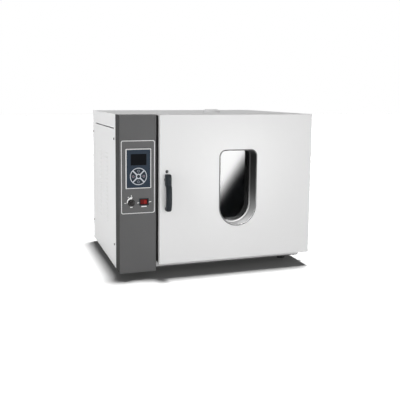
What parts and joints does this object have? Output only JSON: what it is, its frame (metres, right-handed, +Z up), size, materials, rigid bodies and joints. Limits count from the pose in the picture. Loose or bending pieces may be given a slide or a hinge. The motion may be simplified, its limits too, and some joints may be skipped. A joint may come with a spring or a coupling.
{
  "type": "forced-air drying oven",
  "caption": "Bench-top forced-air drying oven: insulated cabinet with a hinged door and deep window, a side control column, wire shelves, a circulation fan and a roof vent.",
  "frame": {"origin": "on the bench, under the middle of the whole oven's box", "axes": "+Z up, +Y from the door to the back, +X to the hinge side"},
  "size_m": [0.669, 0.5762, 0.5283],
  "materials": {
    "painted_white": "satin powder coat",
    "painted_dark": "satin powder coat",
    "galvanised": "galvanised",
    "stainless": "brushed",
    "screw_steel": "plated",
    "bright_trim": "polished",
    "wool": "mineral wool",
    "rubber_black": "matt",
    "silicone": "matt",
    "motor_aluminium": "cast and turned",
    "shaft_steel": "ground",
    "heater_sheath": "heat darkened",
    "plated_steel": "zinc plated",
    "bush_brass": "turned",
    "face_blue_grey": "fine matt film",
    "keypad_light": "satin",
    "key_dark": "fine matt",
    "screen_dark": "gloss",
    "black_plastic": "fine grain",
    "rocker_red": "gloss, translucent",
    "window_glass": "clear tempered"
  },
  "bodies": {
    "cabinet": {"front_frame": "painted_white", "top_panel": "painted_white", "left_cover": "painted_white", "right_panel": "painted_white", "base_pan": "galvanised", "back_panel": "painted_white", "case_screws": "screw_steel", "partition": "galvanised", "insulation": "wool", "inner_chamber": "stainless", "duct_panel_left": "stainless", "duct_panel_right": "stainless", "shelf_rails": "stainless", "shelf_upper": "stainless", "shelf_lower": "stainless", "feet": "rubber_black", "vent_pipe": "stainless", "vent_base": "painted_white", "fan_motor": "motor_aluminium", "shaft_sleeve": "galvanised", "heater": "heater_sheath", "temperature_probe": "stainless", "control_column": "painted_dark", "control_plate": "painted_dark", "plate_trim": "bright_trim", "controller_case": "black_plastic", "controller_bezel": "bright_trim", "controller_face": "face_blue_grey", "display_window": "screen_dark", "keypad_frame": "keypad_light", "knob_bushing": "shaft_steel", "switch_body": "black_plastic", "power_relay": "black_plastic", "cable_gland": "black_plastic", "hinge_case_leaves": "plated_steel", "latch_keeper": "plated_steel"},
    "door": {"door_skin": "painted_white", "door_liner": "stainless", "door_insulation": "wool", "window_frame": "bright_trim", "window_glass_outer": "window_glass", "window_glass_inner": "window_glass", "window_spacer": "stainless", "door_seal": "silicone", "hinge_door_leaves": "plated_steel", "door_screws": "screw_steel", "latch_bush": "bush_brass"},
    "handle": {"lever_handle": "black_plastic", "handle_spindle": "shaft_steel", "latch_tongue": "plated_steel"},
    "fan": {"fan_shaft": "shaft_steel", "fan_impeller": "motor_aluminium"},
    "vent_cover": {"vent_damper": "painted_white"},
    "knob": {"knob": "black_plastic", "knob_shaft": "shaft_steel"},
    "rocker": {"rocker": "rocker_red"},
    "key_right": {"key_right": "key_dark"},
    "key_up": {"key_up": "key_dark"},
    "key_left": {"key_left": "key_dark"},
    "key_down": {"key_down": "key_dark"}
  },
  "joints": [
    {"name": "door_swing", "type": "hinge", "parent": "cabinet", "child": "door", "pos_m": [0.3285, -0.19492, 0.2825], "axis": [0, 0, 1], "range_deg": [0, 150]},
    {"name": "handle_turn", "type": "hinge", "parent": "door", "child": "handle", "pos_m": [-0.186, -0.25792, 0.317], "axis": [0, -1, 0], "range_deg": [0, 90]},
    {"name": "fan_spin", "type": "hinge", "parent": "cabinet", "child": "fan", "pos_m": [-0.141, -0.01142, 0.283], "axis": [1, 0, 0], "continuous": true},
    {"name": "vent_turn", "type": "hinge", "parent": "cabinet", "child": "vent_cover", "pos_m": [0.053, -0.01142, 0.522], "axis": [0, 0, 1], "range_deg": [0, 60]},
    {"name": "knob_turn", "type": "hinge", "parent": "cabinet", "child": "knob", "pos_m": [-0.2967, -0.24272, 0.2462], "axis": [0, 1, 0], "range_deg": [0, 270]},
    {"name": "rocker_tilt", "type": "hinge", "parent": "cabinet", "child": "rocker", "pos_m": [-0.2566, -0.23872, 0.2476], "axis": [0, 0, 1], "range_deg": [0, 18]},
    {"name": "key_right_press", "type": "slide", "parent": "cabinet", "child": "key_right", "axis": [0, 1, 0], "range_m": [0, 0.0006], "stiffness_N_per_m": 600},
    {"name": "key_up_press", "type": "slide", "parent": "cabinet", "child": "key_up", "axis": [0, 1, 0], "range_m": [0, 0.0006], "stiffness_N_per_m": 600},
    {"name": "key_left_press", "type": "slide", "parent": "cabinet", "child": "key_left", "axis": [0, 1, 0], "range_m": [0, 0.0006], "stiffness_N_per_m": 600},
    {"name": "key_down_press", "type": "slide", "parent": "cabinet", "child": "key_down", "axis": [0, 1, 0], "range_m": [0, 0.0006], "stiffness_N_per_m": 600}
  ]
}
